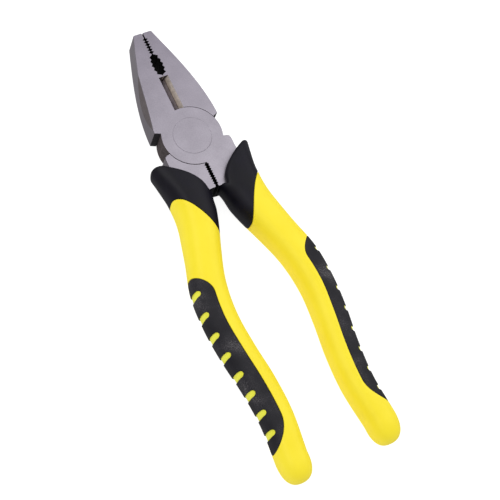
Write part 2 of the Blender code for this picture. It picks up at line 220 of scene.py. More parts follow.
# Camera: its direction and distance from the middle of the front joint face, what it aims at, its roll
# about that line, its lens and a small shift of the picture sideways
FRONT = Vector((0.0, 0.0, THICK))
AIM = Vector((0.00025, -0.05714, THICK))
CAMERA_TILT = math.radians(28.523)
CAMERA_TURN = math.radians(224.779)
CAMERA_ROLL = math.radians(-26.272)
CAMERA_DISTANCE = 0.64597
CAMERA_LENS = 107.51
CAMERA_SHIFT = 0.0007
SENSOR = 36.0

# Floor
FLOOR_HALF = 3.0
FLOOR_DROP = 0.0001         # below the tool, so that they do not share a plane
FLOOR_SHADE = 0.35
FLOOR_GLOW = 0.90


# ---------------------------------------------------------------- shaping tools

def bezier(start, pull_a, pull_b, end, count):
    """Points along a cubic curve, its first point left out."""
    t = np.linspace(0.0, 1.0, count + 1)[1:, None]
    controls = [np.array(point) for point in (start, pull_a, pull_b, end)]
    weights = ((1 - t) ** 3, 3 * t * (1 - t) ** 2, 3 * t ** 2 * (1 - t), t ** 3)
    return [tuple(p) for p in sum(w * c for w, c in zip(weights, controls))]


def shifted(path, distance):
    """An open path moved sideways, to the left of its own direction."""
    path = np.array(path)
    along = np.gradient(path, axis=0)
    along /= np.linalg.norm(along, axis=1)[:, None]
    return [tuple(p) for p in path + distance * np.column_stack((-along[:, 1], along[:, 0]))]


def smooth_stations(y):
    """Inner edge, ridge, outer edge and half thickness of the handle at every y given."""
    table = np.array(HANDLE_STATIONS)[::-1]
    ys, values = table[:, 0], table[:, 1:]
    slopes = np.gradient(values, ys, axis=0)
    y = np.asarray(y, float)
    low = np.clip(np.searchsorted(ys, y) - 1, 0, len(ys) - 2)
    step = (ys[low + 1] - ys[low])[..., None]
    t = (y - ys[low])[..., None] / step
    rise = 3 * t ** 2 - 2 * t ** 3
    return ((1 - rise) * values[low] + rise * values[low + 1]
            + step * (t ** 3 - 2 * t ** 2 + t) * slopes[low]
            + step * (t ** 3 - t ** 2) * slopes[low + 1])


def linked_object(name, mesh):
    made = bpy.data.objects.new(name, mesh)
    bpy.context.scene.collection.objects.link(made)
    helpers.append(made)
    return made


def evaluated_mesh(item):
    bpy.context.view_layer.update()
    return bpy.data.meshes.new_from_object(item.evaluated_get(bpy.context.evaluated_depsgraph_get()))


def weld(mesh, distance):
    cage = bmesh.new()
    cage.from_mesh(mesh)
    bmesh.ops.remove_doubles(cage, verts=cage.verts, dist=distance)
    bmesh.ops.recalc_face_normals(cage, faces=cage.faces)
    cage.to_mesh(mesh)
    cage.free()


def set_heights(mesh, z_low, z_high):
    """Puts a plate that is centred on z = 0 exactly between two heights."""
    for vert in mesh.vertices:
        vert.co.z = z_high if vert.co.z > 0 else z_low


def plate(name, outline, z_low, z_high):
    """Solid with a flat outline in plan, between two heights."""
    curve = bpy.data.curves.new(name, "CURVE")
    curve.dimensions = "2D"
    curve.fill_mode = "BOTH"
    curve.extrude = (z_high - z_low) / 2
    spline = curve.splines.new("POLY")
    spline.points.add(len(outline) - 1)
    for point, (x, y) in zip(spline.points, outline):
        point.co = (x, y, 0.0, 1.0)
    spline.use_cyclic_u = True
    flat = linked_object(name, curve)
    mesh = evaluated_mesh(flat)
    flat.hide_render = True
    weld(mesh, SLIVER)
    set_heights(mesh, z_low, z_high)
    return linked_object(name, mesh)


def drum(name, radius, z_low, z_high):
    """Round plate about the pivot axis."""
    mesh = bpy.data.meshes.new(name)
    cage = bmesh.new()
    bmesh.ops.create_cone(cage, cap_ends=True, segments=ROUND_STEPS, radius1=radius,
                          radius2=radius, depth=z_high - z_low)
    cage.to_mesh(mesh)
    cage.free()
    set_heights(mesh, z_low, z_high)
    return linked_object(name, mesh)


def turned(name, profile):
    """Profile of (radius, z) points, turned about the pivot axis."""
    mesh = bpy.data.meshes.new(name)
    edges = [(i, i + 1) for i in range(len(profile) - 1)]
    mesh.from_pydata([(r, 0.0, z) for r, z in profile], edges, [])
    solid = linked_object(name, mesh)
    screw = solid.modifiers.new("Turn", "SCREW")
    screw.steps = ROUND_STEPS
    screw.render_steps = ROUND_STEPS
    screw.use_merge_vertices = True
    screw.merge_threshold = 0.000001
    return solid


def close_upright(cage, loop):
    """Wall across a ring, each front corner joined to the rear corner behind it."""
    count = len(loop)
    for i in range(count // 2 - 1):
        cage.faces.new((loop[i], loop[i + 1], loop[count - 2 - i], loop[count - 1 - i]))


def solid_from(name, cage):
    bmesh.ops.recalc_face_normals(cage, faces=cage.faces)
    mesh = bpy.data.meshes.new(name)
    cage.to_mesh(mesh)
    cage.free()
    return linked_object(name, mesh)


def closed_skin(name, rings):
    """Solid through rings of equally many points, with an upright wall across its first and its last."""
    cage = bmesh.new()
    loops = [[cage.verts.new(point) for point in ring_points] for ring_points in rings]
    for near, far in zip(loops, loops[1:]):
        for i, vert in enumerate(near):
            after = (i + 1) % len(near)
            cage.faces.new((vert, near[after], far[after], far[i]))
    close_upright(cage, loops[0])
    close_upright(cage, loops[-1])
    return solid_from(name, cage)


def combine(target, other, operation):
    """Boolean of the target with another solid: UNION, DIFFERENCE or INTERSECT."""
    boolean = target.modifiers.new(other.name, "BOOLEAN")
    boolean.operation = operation
    boolean.solver = "EXACT"
    boolean.object = other


def sharpen(mesh):
    mesh.shade_smooth()
    mesh.set_sharp_from_angle(angle=SHARP_ANGLE)


# ---------------------------------------------------------------- forged half

def pipe_grip_edge():
    """Toothed edge of the pipe grip, from its lower end to its upper end."""
    points = []
    for notch, tooth in zip(GRIP_NOTCHES, (*GRIP_TEETH, None)):
        points += [notch, tooth] if tooth else [notch]
    return [(-FACE_X, GRIP_LOW_Y), *[(-x, y) for x, y in points], (-NOSE_X, GRIP_HIGH_Y)]


def nose_teeth_edge():
    points = []
    for tooth in range(NOSE_TEETH):
        y = NOSE_TEETH_Y + tooth * NOSE_PITCH
        points += [(-NOSE_X, y - NOSE_TOOTH_HALF), (-NOSE_NOTCH_X, y), (-NOSE_X, y + NOSE_TOOTH_HALF)]
    return points


def jaw_outline():
    """Left jaw in plan: nose, curved flank, shoulder, and the working face back to the nose."""
    flank_top = (-NOSE_HALF - NOSE_CHAMFER / 3, NOSE_Y - NOSE_CHAMFER)
    flank = bezier(flank_top, (-0.0095, 0.0377), (-0.0149, 0.0223), (-JAW_HALF, JAW_FOOT_Y), 48)
    return [
        (-NOSE_X, NOSE_Y),
        (-NOSE_HALF + NOSE_CHAMFER, NOSE_Y),
        flank_top,
        *flank,
        (-SHOULDER_X, SHOULDER_Y),
        (-SHOULDER_X * 0.7, SHOULDER_Y * 0.7),
        (-FACE_X, DISC_R * 0.6),
        *pipe_grip_edge(),
        *nose_teeth_edge(),
    ]


def throat_edge():
    """Fine teeth on the inner face of the neck, from the joint down."""
    count = int((THROAT_TOP_Y - THROAT_LOW_Y) / (THROAT_PITCH / 2))
    points = []
    for step in range(count):
        side = THROAT_TOOTH if step % 2 else -THROAT_TOOTH
        points.append((THROAT_X + side, THROAT_TOP_Y - step * THROAT_PITCH / 2))
    return points


def neck_outline(grow=0.0):
    """Right neck in plan, from the joint to the top of the tang, grown sideways if asked."""
    throat = shifted(throat_edge(), -grow) if grow else throat_edge()
    return [
        (0.0095, -0.0030 + grow),
        (0.0132, -0.0047 + grow),
        (0.0145 + grow, -0.0049 + grow),
        (0.0155 + grow, -0.0055 + grow),
        (NECK_HALF + grow, -0.0068),
        (NECK_HALF + grow, -0.0140),
        (0.0163 + grow, -0.0230),
        (0.0158 + grow, NECK_LOW_Y - grow),
        (0.0066 - grow, NECK_LOW_Y - grow),
        (0.0046 - grow, -0.0258 - grow),
        (THROAT_X - grow, THROAT_LOW_Y - grow),
        *throat[::-1],
        (THROAT_X - grow, -0.0080),
    ]


def tang_outline(grow=0.0):
    """Tang in plan: a tapering ribbon on the handle's ridge line."""
    ys = np.linspace(TANG_TOP_Y, TANG_LOW_Y, 12)
    widths = np.interp(-ys, *zip(*TANG_WIDTHS))
    centres = smooth_stations(ys)[:, 1]
    right = [(c + w + grow, y) for c, w, y in zip(centres, widths, ys)]
    left = [(c - w - grow, y) for c, w, y in zip(centres, widths, ys)]
    end = (centres[-1], TANG_LOW_Y - widths[-1] / 2 - grow)
    return [*right, end, *left[::-1]]


def rivet_profile(gap, past):
    """Outside of the countersunk rivet, or of the hole it sits in when a gap is given."""
    shank = SHANK_R + gap
    rim = RIVET_R + gap * math.sqrt(2) + past
    waist = HEAD_DEPTH + gap * (math.sqrt(2) - 1)
    return [(0.0, THICK + past), (rim, THICK + past), (shank, THICK - waist),
            (shank, waist), (rim, -past), (0.0, -past)]


def groove_cutter():
    """Ground cutter bevels: a groove from each face that narrows to the edge at mid-thickness."""
    slope = (CUTTER_HALF - CUTTER_WAIST) / MID_Z
    wide = CUTTER_HALF + slope * PAST
    outline = [(-wide, -PAST), (-CUTTER_WAIST, MID_Z), (-wide, THICK + PAST),
               (wide, THICK + PAST), (CUTTER_WAIST, MID_Z), (wide, -PAST)]
    groove = plate("groove", outline, -CUTTER_HIGH_Y, -CUTTER_LOW_Y)
    groove.rotation_euler.x = math.pi / 2
    return groove


def lens_cutter():
    """Slanting cut along the jaw's front edge, which leaves a long lens-shaped facet."""
    start, *rest = LENS_CURVE
    edge = [start, *bezier(start, *rest, LENS_STEPS)]
    cage = bmesh.new()
    sections = []
    for share, (x, y) in zip(np.linspace(0, 1, len(edge)), edge):
        slope = LENS_SLOPE_HIGH + (LENS_SLOPE_LOW - LENS_SLOPE_HIGH) * share
        corners = ((x + slope * PAST, THICK + PAST), (x - slope * LENS_DEPTH, THICK - LENS_DEPTH),
                   (-FAR, THICK - LENS_DEPTH), (-FAR, THICK + PAST))
        sections.append([cage.verts.new((across, y, z)) for across, z in corners])
    for above, below in zip(sections, sections[1:]):
        for i in range(4):
            cage.faces.new((above[i], above[i - 1], below[i - 1], below[i]))
    cage.faces.new(sections[0])
    cage.faces.new(sections[-1])
    bmesh.ops.triangulate(cage, faces=cage.faces)
    return solid_from("lens", cage)


def edge_rounding(edge):
    """Share of the full rounding that an edge of the forging gets."""
    if len(edge.link_faces) != 2 or edge.calc_face_angle(0.0) < EDGE_ANGLE:
        return 0.0
    middle = (edge.verts[0].co + edge.verts[1].co) / 2
    if abs(middle.x) < WORKING_REACH or math.hypot(middle.x, middle.y) < DISC_R + RIM_REACH:
        return WORKING_ROUND / EDGE_ROUND
    return 1.0


def eased(mesh):
    """The forging's mesh with its level faces joined up and its edges rounded."""
    cage = bmesh.new()
    cage.from_mesh(mesh)
    bmesh.ops.dissolve_limit(cage, angle_limit=LEVEL_ANGLE, verts=cage.verts, edges=cage.edges)
    cage.normal_update()
    weight = cage.edges.layers.float.new("bevel_weight_edge")
    for edge in cage.edges:
        edge[weight] = edge_rounding(edge)
    cage.to_mesh(mesh)
    cage.free()
    half = linked_object("eased_half", mesh)
    bevel = half.modifiers.new("Eased edges", "BEVEL")
    bevel.limit_method = "WEIGHT"
    bevel.width = EDGE_ROUND
    bevel.segments = EDGE_STEPS
    bevel.use_clamp_overlap = False
    return evaluated_mesh(half)


def forged_half():
    """Left jaw, front joint plate, right neck and tang in one forging, with its edges eased."""
    half = plate("jaw", jaw_outline(), 0.0, THICK)
    combine(half, groove_cutter(), "DIFFERENCE")
    combine(half, drum("joint_disc", DISC_R, MID_Z - PAST, THICK), "UNION")
    combine(half, plate("neck", neck_outline(), 0.0, THICK), "UNION")
    tang_z = (THICK - TANG_THICK) / 2
    combine(half, plate("tang", tang_outline(), tang_z, THICK - tang_z), "UNION")
    pocket = drum("pocket", POCKET_R, -PAST, MID_Z + JAW_GAP / 2)
    pocket.data.transform(Matrix.Translation((0.0, -POCKET_DROP, 0.0)))
    combine(half, pocket, "DIFFERENCE")
    combine(half, lens_cutter(), "DIFFERENCE")
    combine(half, turned("rivet_hole", rivet_profile(TURN_GAP, PAST)), "DIFFERENCE")
    mesh = eased(finished_mesh(half))
    sharpen(mesh)
    return mesh


# ---------------------------------------------------------------- moulded handle

RING_ANGLES = 2 * math.pi * (np.arange(RING_POINTS) + 0.5) / RING_POINTS
ACROSS = np.copysign(np.abs(np.cos(RING_ANGLES)) ** (2 / SQUARENESS), np.cos(RING_ANGLES))
UP = np.copysign(np.abs(np.sin(RING_ANGLES)) ** (2 / SQUARENESS), np.sin(RING_ANGLES))


def section_point(y, inset, across, up):
    """Point of the handle's surface at y, drawn in by inset; across and up are its unit section.

    Round the inner lobe the section's inner side is fuller in front, where it covers the corner of the
    neck, and slimmer behind.  The ear's outer side leans out towards the rear.
    """
    lobe = np.clip(1 - np.abs(y - LOBE_MIDDLE_Y) / LOBE_HALF, 0.0, 1.0)
    lobe = np.where(across < 0, lobe * lobe * (3 - 2 * lobe), 0.0)
    across = across * (1 - LOBE_SLIMNESS * lobe * np.clip(-2 * up, 0.0, 1.0))
    up = np.copysign(np.abs(up) ** (1 - LOBE_FULLNESS * lobe * (up > 0)), up)
    inner, ridge, outer, height = np.moveaxis(smooth_stations(np.maximum(y, HANDLE_CAP_Y)), -1, 0)
    past_cap = np.maximum(0.0, (HANDLE_CAP_Y - y) / (HANDLE_CAP_Y - HANDLE_END_Y - inset))
    scale = (1 - np.minimum(past_cap, CAP_SHARE) ** CAP_SQUARENESS) ** (1 / CAP_SQUARENESS)
    reach = np.where(across > 0, outer - ridge, ridge - inner) - inset
    lean = np.where(across > 0, EAR_LEAN * np.clip((y - EAR_LEAN_END) / EAR_LEAN_RUN, 0.0, 1.0), 0.0)
    x = ridge + scale * reach * across - lean * across * up
    z = MID_Z + scale * (height - inset) * up
    return np.stack((x, np.broadcast_to(y, x.shape), z), axis=-1)


def ring(y, inset=0.0):
    return section_point(np.broadcast_to(y, ACROSS.shape), inset, ACROSS, UP)


def level_rings(y_top, inset=0.0):
    """Level rings of the moulded handle, drawn in by inset, from y_top down to its round end."""
    steps = int((y_top - HANDLE_CAP_Y) / RING_SPACING)
    reach = HANDLE_CAP_Y - HANDLE_END_Y - inset
    angles = 0.5 * math.pi * np.arange(1, CAP_RINGS + 1) / CAP_RINGS
    ys = [*np.linspace(y_top, HANDLE_CAP_Y, steps + 1), *(HANDLE_CAP_Y - reach * np.sin(angles))]
    return [ring(y, inset) for y in ys]


def inside(outline, x, y):
    """Whether the points lie inside the closed outline in plan."""
    found = np.zeros(x.shape, bool)
    for (ax, ay), (bx, by) in zip(outline, [*outline[1:], outline[0]]):
        if ay == by:
            continue
        crosses = (ay > y) != (by > y)
        found ^= crosses & (x < ax + (y - ay) * (bx - ax) / (by - ay))
    return found


def border_levels(outline, inset, start, end):
    """For every point of the ring, the y at which a walk from start to end crosses the outline."""
    ys = np.linspace(start, end, WALK_STEPS)
    grid = np.stack([ring(y, inset)[:, 0] for y in ys])
    within = inside(outline, grid, np.broadcast_to(ys[:, None], grid.shape))
    crossing = np.argmax(within != within[0], axis=0)
    low, high = ys[crossing - 1], ys[crossing]
    for _ in range(HALVINGS):
        middle = (low + high) / 2
        x = section_point(middle, inset, ACROSS, UP)[:, 0]
        same = inside(outline, x, middle) == within[0]
        low, high = np.where(same, middle, low), np.where(same, high, middle)
    return (low + high) / 2


def guard_edge(border):
    """Border of the guard on the steel, from the ear's outer side to the inner lobe."""
    rise, notch_y, crown_y, end_y = border
    ear = bezier((0.0255, -0.0140 + rise), (0.0254, -0.0092 + rise), (0.0228, -0.0085 + rise),
                 (0.0191, -0.0101 + rise), 24)
    slope = bezier(ear[-1], (0.0130, -0.0139), (0.0073, -0.0171), (0.0045, -0.0232), 24)
    notch = bezier(slope[-1], (0.0043, -0.0240), (0.0042, notch_y + 0.0006), (0.0038, notch_y), 6)
    crown = bezier(notch[-1], (0.0036, crown_y), (0.0012, crown_y), (-0.0002, end_y), 12)
    return [(0.0255, -0.0160), (0.0255, -0.0140 + rise), *ear, *slope, *notch, *crown, (-0.0040, end_y)]


def seam_edge():
    """Seam between the guard and the grip body, from the inner side to the outer side."""
    tip = (0.0086, -0.0492)
    hook = bezier(tip, (0.0081, -0.0478), (0.0076, -0.0468), (0.0076, -0.0459), 6)
    curve = bezier(hook[-1], (0.0112, -0.0354), (0.0165, -0.0264), (0.0217, -0.0242), 36)
    return [(0.0060, -0.0560), (0.0073, -0.0520), tip, *hook, *curve, (0.0285, -0.0216), (0.0351, -0.0190)]


def below_guard_edge(border, distance):
    """Everything below the guard's border, the border drawn down by distance."""
    border = shifted(guard_edge(border), distance)
    return [(FAR, border[0][1]), *border, (-FAR, border[-1][1]), (-FAR, -2 * FAR), (FAR, -2 * FAR)]


def below_seam(distance):
    """Everything below the seam, the seam drawn down by distance."""
    seam = shifted(seam_edge(), -distance)
    return [*seam, (FAR, -2 * FAR), (-FAR, -2 * FAR), (-FAR, seam[0][1])]


def rounded_border(levels_at, radius, gap, away):
    """Rings that roll over a border, from the surface to the upright wall behind the border."""
    rings = []
    for angle in np.linspace(0.0, 0.5 * math.pi, ROUND_RINGS + 1):
        drawn = away * (gap + radius * (1 - math.sin(angle)))
        inset = radius * (1 - math.cos(angle))
        rings.append(section_point(levels_at(drawn, inset), inset, ACROSS, UP))
    return rings


def round_the_sides(front, rear):
    """Levels that pass from the front face's to the rear face's round the handle's sides."""
    return rear + (front - rear) * np.clip(0.5 + UP, 0.0, 1.0)


def guard_levels(distance, inset):
    """Levels of the guard's border, drawn down by distance, on the surface drawn in by inset."""
    front, rear = (border_levels(below_guard_edge(border, distance), inset, GUARD_LOW_Y, GUARD_HIGH_Y)
                   for border in (BORDER_FRONT, BORDER_REAR))
    return round_the_sides(front, rear)


def seam_levels(distance, inset):
    """Levels of the seam, drawn down by distance, on the surface drawn in by inset."""
    front, rear = (border_levels(below_seam(distance + drop), inset, SEAM_HIGH_Y, BELOW_SEAM_Y)
                   for drop in (SEAM_DROP_FRONT, SEAM_DROP_REAR))
    return round_the_sides(front, rear)


def cut_for_steel(target):
    """Pocket for the neck and the tang."""
    tang_z = (THICK - TANG_THICK) / 2 - SEAM_GAP
    neck = plate("neck_room", neck_outline(SEAM_GAP), -SEAM_GAP, THICK + SEAM_GAP)
    tang = plate("tang_room", tang_outline(SEAM_GAP), tang_z, THICK - tang_z)
    combine(target, neck, "DIFFERENCE")
    combine(target, tang, "DIFFERENCE")


def rings_between(first, last):
    """Rings between two rings, evenly spaced along the handle."""
    longest = np.abs(first[:, 1] - last[:, 1]).max()
    steps = max(2, int(longest / RING_SPACING))
    between = []
    for share in np.arange(1, steps) / steps:
        levels = first[:, 1] * (1 - share) + last[:, 1] * share
        between.append(section_point(levels, 0.0, ACROSS, UP))
    return between


def guard():
    """Soft collar and finger stop round the neck."""
    upper = rounded_border(guard_levels, GUARD_ROUND, 0.0, 1.0)
    lower = rounded_border(seam_levels, SEAM_ROUND, SEAM_GAP, -1.0)
    between = rings_between(upper[0], lower[0])
    collar = closed_skin("guard", [*upper[::-1], *between, *lower])
    cut_for_steel(collar)
    return finished_mesh(collar)


def pad_reach(y):
    """How far out the pad's border lies at y, from the ridge (0) to the outer edge (1)."""
    into_top = np.maximum(0.0, (y - (PAD_TOP_Y - PAD_TOP_RUN)) / PAD_TOP_RUN)
    into_low = np.maximum(0.0, ((PAD_LOW_Y + PAD_LOW_RUN) - y) / PAD_LOW_RUN)
    return (1 + PAD_PAST_RIDGE) * (into_top ** 2 + PAD_LOW_PULL * into_low ** 2) - PAD_PAST_RIDGE


def pad_border(count):
    ys = np.linspace(PAD_TOP_Y + PAST, PAD_LOW_Y - PAST, count)
    _, ridge, outer, _ = smooth_stations(ys).T
    return [tuple(p) for p in np.column_stack((ridge + (outer - ridge) * pad_reach(ys), ys))]


def rib_region(name, index, gap=0.0):
    """One rib in plan: a bar with a round inner end that widens towards the handle's side."""
    y = RIB_TOP_Y - index * RIB_PITCH + index * (index - 1) / 2 * RIB_PITCH_STEP
    _, ridge, outer, _ = smooth_stations(y)
    centre = ridge + (outer - ridge) * RIB_REACH
    radius = RIB_WIDTH / 2 + gap
    angles = np.linspace(0.5 * math.pi, 1.5 * math.pi, 25)
    nose = [(centre + radius * math.cos(a), y + radius * math.sin(a)) for a in angles]
    flare = bezier(nose[-1], (outer - RIB_TURN, y - radius), (outer, y - radius - RIB_FLARE),
                   (outer + RIB_TURN_PAST, y - radius - RIB_FLARE), 8)
    return plate(name, [*nose, *flare, (FAR, flare[-1][1]), (FAR, y + radius)], -FAR, FAR)


def pad_recess():
    """Room for the palm pad, less the ribs that stand in it."""
    border = pad_border(120)
    recess = plate("recess", [*border, (FAR, border[-1][1]), (FAR, border[0][1])], -FAR, FAR)
    recess_floor = closed_skin("recess_floor", level_rings(PAD_FORM_TOP_Y, PAD_DEPTH))
    combine(recess, recess_floor, "DIFFERENCE")
    for index in range(RIBS):
        rib = rib_region("rib_%d" % (index + 1), index)
        rib_top = closed_skin("rib_top_%d" % (index + 1), level_rings(PAD_FORM_TOP_Y, RIB_DEPTH))
        combine(rib, rib_top, "INTERSECT")
        combine(recess, rib, "DIFFERENCE")
    return recess


def grip_body():
    """Hard handle body with the tang's socket and, between its ribs, the pad's recess."""
    upper = rounded_border(seam_levels, SEAM_ROUND, 0.0, 1.0)
    below = level_rings(BELOW_SEAM_Y)
    body = closed_skin("grip_body", [*upper[::-1], *rings_between(upper[0], below[0]), *below])
    combine(body, pad_recess(), "DIFFERENCE")
    cut_for_steel(body)
    return finished_mesh(body)


def distance_to(border, points):
    """Shortest distance in plan from each point to an open path."""
    border = np.array(border)
    start, step = border[:-1], np.diff(border, axis=0)
    offset = points[:, None, :] - start[None]
    along = np.clip((offset * step).sum(-1) / (step ** 2).sum(-1), 0.0, 1.0)
    return np.linalg.norm(offset - along[..., None] * step, axis=-1).min(axis=1)


def crowded(even, towards_ends):
    """Even shares, partly replaced by ones that crowd towards the ends."""
    return PAD_EVENNESS * even + (1 - PAD_EVENNESS) * towards_ends


def pad_grid():
    """Levels of the pad's grid of corners, and the handle's unit section at each."""
    columns = np.linspace(-1, 1, 2 * PAD_COLUMNS + 1)
    angles = 0.5 * math.pi * crowded(columns, np.sin(0.5 * math.pi * columns))
    across = np.abs(np.cos(angles)) ** (2 / SQUARENESS)
    across[0] = across[-1] = -PAD_PAST_RIDGE
    up = np.copysign(np.abs(np.sin(angles)) ** (2 / SQUARENESS), np.sin(angles))
    share = (across + PAD_PAST_RIDGE) / (1 + PAD_PAST_RIDGE)
    top = PAD_TOP_Y - PAD_TOP_RUN * (1 - np.sqrt(share)) - SEAM_GAP
    low = PAD_LOW_Y + PAD_LOW_RUN * (1 - np.sqrt(share / PAD_LOW_PULL)) + SEAM_GAP
    rows = np.linspace(0, 1, PAD_ROWS)
    shares = crowded(rows, 0.5 - 0.5 * np.cos(math.pi * rows))[:, None]
    ys = top * (1 - shares) + low * shares
    inner_edge, ridge, outer_edge, _ = np.moveaxis(smooth_stations(ys), -1, 0)
    past_ridge = (across * (outer_edge - ridge) + SEAM_GAP) / (ridge - inner_edge)
    return ys, np.where(across < 0, past_ridge, across), np.broadcast_to(up, ys.shape)


def add_sheet(cage, points):
    """Quads over a grid of points; gives the corners round its rim."""
    verts = [[cage.verts.new(point) for point in row] for row in points]
    for above, below in zip(verts, verts[1:]):
        for i in range(len(above) - 1):
            cage.faces.new((above[i], above[i + 1], below[i + 1], below[i]))
    return [*verts[0], *[row[-1] for row in verts[1:-1]],
            *verts[-1][::-1], *[row[0] for row in verts[-2:0:-1]]]


def palm_pad():
    """Soft pad in the recess with a rounded rim and a slot for each rib."""
    ys, across, up = pad_grid()
    flat = section_point(ys, 0.0, across, up)
    away = distance_to(pad_border(400), flat[..., :2].reshape(-1, 2)).reshape(ys.shape)
    into = np.clip(1 - away / PAD_ROUND, 0.0, 1.0)
    sunk = PAD_ROUND * (1 - np.sqrt(1 - into ** 2))
    cage = bmesh.new()
    rim = add_sheet(cage, section_point(ys, sunk, across, up))
    back = add_sheet(cage, section_point(ys, PAD_DEPTH - SEAM_GAP, across, up))
    for i, vert in enumerate(rim):
        after = (i + 1) % len(rim)
        cage.faces.new((vert, rim[after], back[after], back[i]))
    pad = solid_from("palm_pad", cage)
    for index in range(RIBS):
        combine(pad, rib_region("slot_%d" % (index + 1), index, TURN_GAP), "DIFFERENCE")
    return finished_mesh(pad)


# ---------------------------------------------------------------- materials

def linear(red, green, blue):
    """Linear colour from 8-bit display values."""
    def one(value):
        share = value / 255
        return share / 12.92 if share <= 0.04045 else ((share + 0.055) / 1.055) ** 2.4
    return (one(red), one(green), one(blue), 1.0)


def grey(value):
    return (value, value, value, 1.0)


# Colours, as the display values of the finish in even white light; the shoulder's, the blackened, the
# cutter's and the ribs' colours also carry painted light and shade
GROUND_NOSE = linear(148, 142, 154)
GROUND_NECK = linear(167, 162, 171)
FLANK_NOSE = linear(184, 178, 187)
FLANK_NECK = linear(156, 149, 157)
LENS_TONES = (linear(137, 128, 131), linear(164, 154, 156))
SCALE_TONES = (linear(60, 53, 54), linear(84, 76, 77))
# darker copy of the scale for the shoulder's downward faces: painted shade
SHOULDER_SHADE_TONES = (linear(34, 32, 35), linear(46, 44, 47))
# blackened steel darkened further into painted shade, for the teeth, the pipe grip, the throat and the
# pocket's wall
BLACKENED_AND_SHADE_TONES = (linear(5, 5, 6), linear(14, 13, 15))
CUTTER_LIGHT_AND_SHADE_STOPS = ((0.0, linear(178, 168, 176)), (0.40, linear(160, 150, 152)),
                (0.455, linear(70, 58, 56)), (0.50, linear(185, 172, 160)),
                (1.0, linear(204, 194, 187)))      # from the cutting edge to the faces: cooler low in the groove, a dark painted shadow line, then painted light, warm, near the faces
YELLOW_TONES = (linear(250, 228, 44), linear(253, 233, 54))
# the same yellow plastic on the ribs, greener and darker: painted shade of the slots they sit in
RIB_SHADE_TONES = (linear(236, 233, 64), linear(243, 241, 78))
GUARD_TONES = (linear(11, 10, 17), linear(18, 16, 28))
PAD_STOPS = ((0.0, linear(25, 24, 29)), (0.45, linear(36, 35, 40)),
             (0.75, linear(56, 54, 58)), (1.0, linear(92, 89, 91)))

# The dome of light, from below the horizon to the zenith
DOME_STOPS = ((0.0, grey(0.50)), (0.45, grey(0.72)), (1.0, grey(1.0)))
DOME_STRENGTH = 0.64


def new_material(name, roughness, metallic, specular):
    made = bpy.data.materials.new(name)
    made.use_nodes = True
    shader = made.node_tree.nodes["Principled BSDF"]
    shader.inputs["Roughness"].default_value = roughness
    shader.inputs["Metallic"].default_value = metallic
    shader.inputs["Specular IOR Level"].default_value = specular
    return made, made.node_tree, shader


def own_coordinates(tree):
    return tree.nodes.new("ShaderNodeTexCoord").outputs["Object"]


def separate(tree, place):
    made = tree.nodes.new("ShaderNodeSeparateXYZ")
    tree.links.new(place, made.inputs["Vector"])
    return made.outputs


def stretched(tree, place, scale):
    made = tree.nodes.new("ShaderNodeMapping")
    made.inputs["Scale"].default_value = scale
    tree.links.new(place, made.inputs["Vector"])
    return made.outputs["Vector"]


def noise(tree, place, scale, detail, roughness=0.5):
    made = tree.nodes.new("ShaderNodeTexNoise")
    made.inputs["Scale"].default_value = scale
    made.inputs["Detail"].default_value = detail
    made.inputs["Roughness"].default_value = roughness
    tree.links.new(place, made.inputs["Vector"])
    return made.outputs["Fac"]


def ramp(tree, factor, stops):
    """Colour ramp through (position, colour) stops."""
    made = tree.nodes.new("ShaderNodeValToRGB")
    elements = made.color_ramp.elements
    while len(elements) < len(stops):
        elements.new(0.5)
    for element, (position, colour) in zip(elements, stops):
        element.position = position
        element.color = colour
    tree.links.new(factor, made.inputs["Fac"])
    return made.outputs["Color"]


def two_tone(tree, factor, tones):
    """Colour that passes from the first tone to the second."""
    return ramp(tree, factor, ((0.3, tones[0]), (0.7, tones[1])))


def remap(tree, value, given, wanted):
    """A value carried from one range to another."""
    made = tree.nodes.new("ShaderNodeMapRange")
    for key, number in zip(("From Min", "From Max", "To Min", "To Max"), (*given, *wanted)):
        made.inputs[key].default_value = number
    tree.links.new(value, made.inputs["Value"])
    return made.outputs["Result"]


def arithmetic(tree, operation, *values):
    made = tree.nodes.new("ShaderNodeMath")
    made.operation = operation
    for target, value in zip(made.inputs, values):
        tree.links.new(value, target)
    return made.outputs["Value"]


def multiplied(tree, first, second):
    """Product of two colours."""
    made = tree.nodes.new("ShaderNodeMix")
    made.data_type = "RGBA"
    made.blend_type = "MULTIPLY"
    factor, colour_a, colour_b = made.inputs[0], made.inputs[6], made.inputs[7]
    factor.default_value = 1.0
    tree.links.new(first, colour_a)
    tree.links.new(second, colour_b)
    return made.outputs[2]


def roughen(tree, shader, value, given, wanted):
    tree.links.new(remap(tree, value, given, wanted), shader.inputs["Roughness"])


def bump(tree, shader, height, distance):
    made = tree.nodes.new("ShaderNodeBump")
    made.inputs["Distance"].default_value = distance
    tree.links.new(height, made.inputs["Height"])
    tree.links.new(made.outputs["Normal"], shader.inputs["Normal"])


def steel_colour(tree, place, at_nose, at_neck):
    """Colour that runs from the nose to the neck, with faint clouds and specks."""
    along = remap(tree, separate(tree, place)["Y"], (NOSE_Y, NECK_LOW_Y), (0.0, 1.0))
    base = ramp(tree, along, ((0.0, at_nose), (1.0, at_neck)))
    clouds = noise(tree, place, scale=110.0, detail=4.0)
    specks = noise(tree, place, scale=2400.0, detail=3.0, roughness=0.6)
    toned = multiplied(tree, base, ramp(tree, clouds, ((0.32, grey(0.93)), (0.68, grey(1.05)))))
    return multiplied(tree, toned, ramp(tree, specks, ((0.30, grey(0.90)), (0.70, grey(1.06)))))


